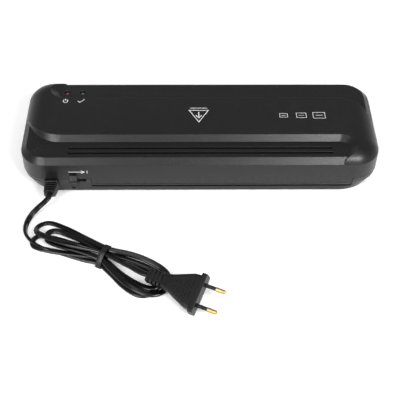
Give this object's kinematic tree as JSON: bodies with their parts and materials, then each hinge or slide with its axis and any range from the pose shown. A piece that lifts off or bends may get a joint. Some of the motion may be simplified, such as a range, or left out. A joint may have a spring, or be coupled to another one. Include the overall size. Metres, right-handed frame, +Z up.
{
  "type": "pouch laminator",
  "caption": "Low desktop pouch laminator for A4 sheets, with a front feed slot, rear exit slot, release slide, two lamps and a tied mains lead.",
  "frame": {"origin": "on the resting surface, under the middle of the casing", "axes": "+Z up, -Y towards the side the pouch is fed into, +Y towards the side it leaves, +X towards the end with the drive, the lamps and the lead"},
  "size_m": [0.335, 0.262, 0.048],
  "materials": {
    "casing_plastic": "moulded ABS, fine spark texture, satin",
    "knob_plastic": "moulded ABS, satin with polished edges",
    "foot_rubber": "soft rubber",
    "boot_rubber": "moulded PVC strain relief",
    "silicone_rubber": "ground silicone sleeve",
    "zinc_steel": "zinc plated sheet steel",
    "bright_steel": "bright drawn steel",
    "screw_steel": "zinc plated screws",
    "spring_steel": "spring wire",
    "gear_nylon": "moulded natural nylon",
    "heatproof_plastic": "glass-filled heat-proof plastic",
    "heat_aluminium": "extruded aluminium",
    "heater_sheet": "mica heater sheet",
    "fuse_body": "thermal cut-out can",
    "red_lens": "red tinted epoxy lamp, unlit",
    "green_lens": "green tinted epoxy lamp, unlit",
    "circuit_board": "lacquered circuit board",
    "cord_jacket": "glossy PVC jacket",
    "lead_insulation": "PVC wire insulation",
    "terminal_plastic": "natural polyamide",
    "tie_plastic": "plastic coated twist band",
    "plug_plastic": "moulded PVC plug, satin",
    "pin_brass": "polished brass contact pins"
  },
  "bodies": {
    "root": {"top_cover": "casing_plastic", "bottom_cover": "casing_plastic", "rubber_feet": "foot_rubber", "cord_boot": "boot_rubber", "side_frame_drive": "zinc_steel", "side_frame_plain": "zinc_steel", "gear_motor": "zinc_steel", "tie_rod_front": "bright_steel", "tie_rod_rear": "bright_steel", "idler_stud": "bright_steel", "motor_standoffs": "bright_steel", "infeed_guide": "bright_steel", "case_screws": "screw_steel", "machine_screws": "screw_steel", "tapping_screws": "screw_steel", "board_screws": "screw_steel", "pressure_spring_drive": "spring_steel", "pressure_spring_plain": "spring_steel", "lower_bush_drive": "heatproof_plastic", "lower_bush_plain": "heatproof_plastic", "shoe_holder_drive": "heatproof_plastic", "shoe_holder_plain": "heatproof_plastic", "exit_guide_lower": "heatproof_plastic", "exit_guide_upper": "heatproof_plastic", "upper_heat_shoe": "heat_aluminium", "lower_heat_shoe": "heat_aluminium", "upper_heater_cover": "heat_aluminium", "lower_heater_cover": "heat_aluminium", "thermostat": "heat_aluminium", "upper_heater": "heater_sheet", "lower_heater": "heater_sheet", "thermal_fuse": "fuse_body", "power_led": "red_lens", "ready_led": "green_lens", "led_board": "circuit_board", "supply_cord_inner": "cord_jacket", "supply_cord": "cord_jacket", "cord_hank": "cord_jacket", "mains_cores": "lead_insulation", "heater_leads": "lead_insulation", "terminal_block": "terminal_plastic", "cord_clamp": "terminal_plastic", "cord_tie": "tie_plastic", "plug_body": "plug_plastic", "plug_pin_sleeves": "plug_plastic", "plug_pins": "pin_brass"},
    "release": {"release_bar": "zinc_steel", "release_link": "zinc_steel", "release_knob": "knob_plastic"},
    "roller_carriage": {"upper_bush_drive": "heatproof_plastic", "upper_bush_plain": "heatproof_plastic"},
    "upper_roller": {"upper_roller_shaft": "bright_steel", "upper_roller_sleeve": "silicone_rubber", "upper_roller_gear": "gear_nylon"},
    "lower_roller": {"lower_roller_shaft": "bright_steel", "lower_roller_sleeve": "silicone_rubber", "lower_roller_gear": "gear_nylon"},
    "idler": {"idler_gear": "gear_nylon"},
    "motor_output": {"motor_gear": "gear_nylon", "motor_shaft": "bright_steel"}
  },
  "joints": [
    {"name": "release_slide", "type": "slide", "parent": "root", "child": "release", "axis": [-1, 0, 0], "range_m": [0, 0.008]},
    {"name": "roller_lift", "type": "slide", "parent": "root", "child": "roller_carriage", "axis": [0, 0, 1], "range_m": [0, 0.0015], "deforming": ["pressure_spring_drive", "pressure_spring_plain"]},
    {"name": "lower_roller_spin", "type": "hinge", "parent": "root", "child": "lower_roller", "pos_m": [0, -0.00455, 0.01486], "axis": [1, 0, 0], "continuous": true},
    {"name": "upper_roller_spin", "type": "hinge", "parent": "roller_carriage", "child": "upper_roller", "pos_m": [0, -0.00145, 0.03076], "axis": [1, 0, 0], "continuous": true},
    {"name": "idler_spin", "type": "hinge", "parent": "root", "child": "idler", "pos_m": [0, 0.01251, 0.01606], "axis": [1, 0, 0], "continuous": true},
    {"name": "motor_output_spin", "type": "hinge", "parent": "root", "child": "motor_output", "pos_m": [0, 0.02761, 0.01606], "axis": [1, 0, 0], "continuous": true}
  ],
  "couplings": [
    {"joint": "roller_lift", "follows": "release_slide", "ratio": 0.1875},
    {"joint": "upper_roller_spin", "follows": "lower_roller_spin", "ratio": -1},
    {"joint": "idler_spin", "follows": "lower_roller_spin", "ratio": -0.88889},
    {"joint": "motor_output_spin", "follows": "lower_roller_spin", "ratio": 1.3333}
  ]
}
